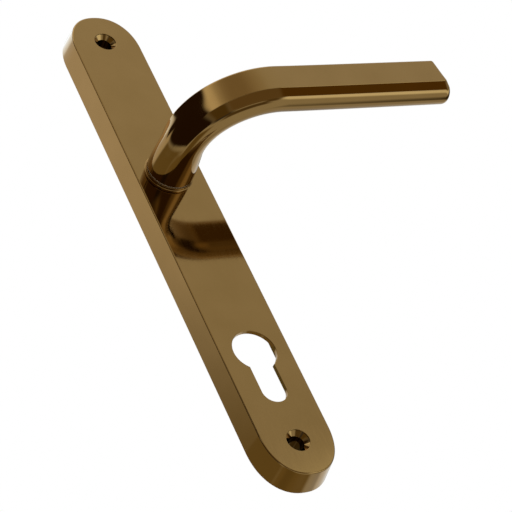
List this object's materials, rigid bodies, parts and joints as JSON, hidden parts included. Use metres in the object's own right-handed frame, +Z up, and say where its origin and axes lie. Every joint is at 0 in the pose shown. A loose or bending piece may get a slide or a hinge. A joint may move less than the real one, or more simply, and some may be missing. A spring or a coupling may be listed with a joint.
{
  "type": "lever door handle on long backplate",
  "caption": "Sprung lever door handle on a long hollow backplate, pierced for a euro profile cylinder, for a multipoint lock.",
  "frame": {"origin": "on the spindle axis, in the plane of the door face that the plate's back rim meets", "axes": "+Z up the door along the plate, +X the way the lever points, +Y into the door"},
  "size_m": [0.1294, 0.0629, 0.2434],
  "materials": {
    "bronze_plate": "mirror polished bronze plating",
    "cast_zinc": "bare zinc die casting, satin",
    "zinc_steel": "bright zinc plated pressed steel",
    "screw_steel": "bright zinc plated",
    "spring_steel": "dark oiled spring steel",
    "acetal": "natural white acetal",
    "brown_acetal": "bronze brown acetal",
    "stop_rubber": "moulded matt rubber"
  },
  "bodies": {
    "plate": {"backplate": "bronze_plate", "neck_bush": "acetal", "collar_washer": "brown_acetal", "cassette_tray": "zinc_steel", "cassette_cover": "zinc_steel", "cassette_screw_1": "screw_steel", "cassette_screw_2": "screw_steel", "cassette_screw_3": "screw_steel", "cassette_screw_4": "screw_steel", "stop_pad_right": "stop_rubber", "stop_pad_left": "stop_rubber", "return_spring": "spring_steel", "flange_washer": "acetal"},
    "lever": {"lever": "bronze_plate", "thrust_washer": "zinc_steel", "drive_hub": "cast_zinc", "wave_washer": "spring_steel", "circlip": "spring_steel", "spindle_clip": "spring_steel"}
  },
  "joints": [
    {"name": "lever_turn", "type": "hinge", "parent": "plate", "child": "lever", "pos_m": [0, 0, 0], "axis": [0, 1, 0], "range_deg": [-40, 40], "stiffness_Nm_per_rad": 1.6, "deforming": ["return_spring"]}
  ]
}
